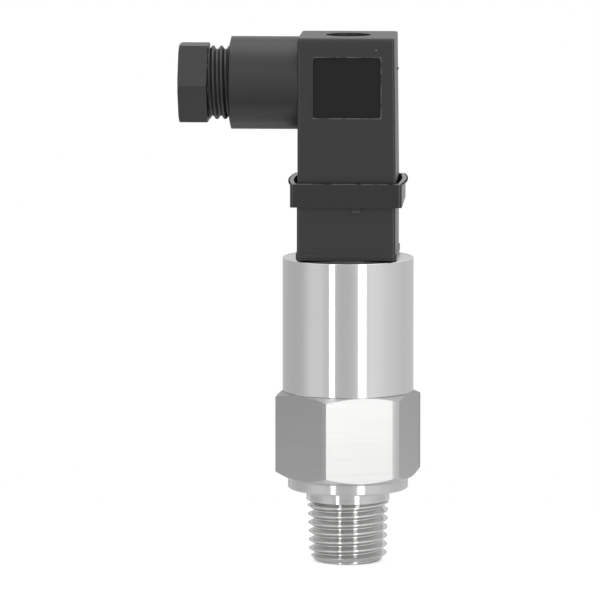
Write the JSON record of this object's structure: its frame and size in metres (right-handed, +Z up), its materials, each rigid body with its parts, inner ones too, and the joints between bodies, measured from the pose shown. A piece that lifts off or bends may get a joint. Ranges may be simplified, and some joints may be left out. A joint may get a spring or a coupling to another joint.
{
  "type": "pressure transmitter",
  "caption": "Pressure transmitter: hexagonal steel port with tapered male thread, cylindrical case and right-angle plug connector with cable gland.",
  "frame": {"origin": "on the main axis, at the lower end of the process thread", "axes": "+Z up along the main axis, from thread to plug; the cable gland leaves towards -X and the label recess is on the -Y face"},
  "size_m": [0.0408, 0.0246, 0.0901],
  "materials": {
    "steel": "turned stainless steel, fine brushed hexagon",
    "case_steel": "fine turned stainless steel, satin gloss",
    "nut_steel": "plated steel",
    "seal_rubber": "matt",
    "cell_ceramic": "matt white",
    "contact_metal": "plated brass",
    "board": "resin board",
    "chip": "moulded",
    "capacitor": "matt",
    "lead": "insulated",
    "base_plastic": "moulded, satin",
    "housing_plastic": "moulded, satin",
    "gland_plastic": "moulded, satin"
  },
  "bodies": {
    "transmitter": {"pressure_port": "steel", "sensor_o_ring": "seal_rubber", "sensor_cell": "cell_ceramic", "sensor_clamp_ring": "nut_steel", "sensor_pins": "contact_metal", "signal_board": "board", "amplifier_chip": "chip", "board_capacitors": "capacitor", "plug_leads": "lead", "case_sleeve": "case_steel", "base_lock_nut": "nut_steel", "base_seal": "seal_rubber", "plug_base": "base_plastic", "screw_insert": "contact_metal", "profile_gasket": "seal_rubber", "contact_blade_1": "contact_metal", "contact_blade_2": "contact_metal", "contact_blade_3": "contact_metal", "earth_blade": "contact_metal"},
    "plug_connector": {"socket_housing": "housing_plastic", "contact_carrier": "base_plastic", "contact_clip_1": "contact_metal", "contact_clip_2": "contact_metal", "contact_clip_3": "contact_metal", "earth_clip": "contact_metal", "terminal_screws": "nut_steel", "gland_grommet": "seal_rubber"},
    "gland_ring": {"gland_washer": "gland_plastic"},
    "gland_screw": {"gland_nut": "gland_plastic"},
    "seal_ring": {"screw_seal": "seal_rubber"},
    "plug_screw": {"fixing_screw": "nut_steel"}
  },
  "joints": [
    {"name": "plug_pull", "type": "slide", "parent": "transmitter", "child": "plug_connector", "axis": [0, 0, 1], "range_m": [0, 0.014]},
    {"name": "gland_travel", "type": "slide", "parent": "plug_connector", "child": "gland_ring", "axis": [1, 0, 0], "range_m": [-0.0044, 0.003]},
    {"name": "gland_turn", "type": "hinge", "parent": "gland_ring", "child": "gland_screw", "pos_m": [-0.022, 0, 0.08193], "axis": [1, 0, 0], "range_deg": [-1131.44, 771.44]},
    {"name": "screw_travel", "type": "slide", "parent": "plug_connector", "child": "seal_ring", "axis": [0, 0, 1], "range_m": [0, 0.0061]},
    {"name": "screw_turn", "type": "hinge", "parent": "seal_ring", "child": "plug_screw", "pos_m": [0, 0, 0.087], "axis": [0, 0, 1], "range_deg": [0, 4392.01]}
  ],
  "couplings": [
    {"joint": "gland_turn", "follows": "gland_travel", "rad_per_m": 4488},
    {"joint": "screw_turn", "follows": "screw_travel", "rad_per_m": 12566}
  ]
}
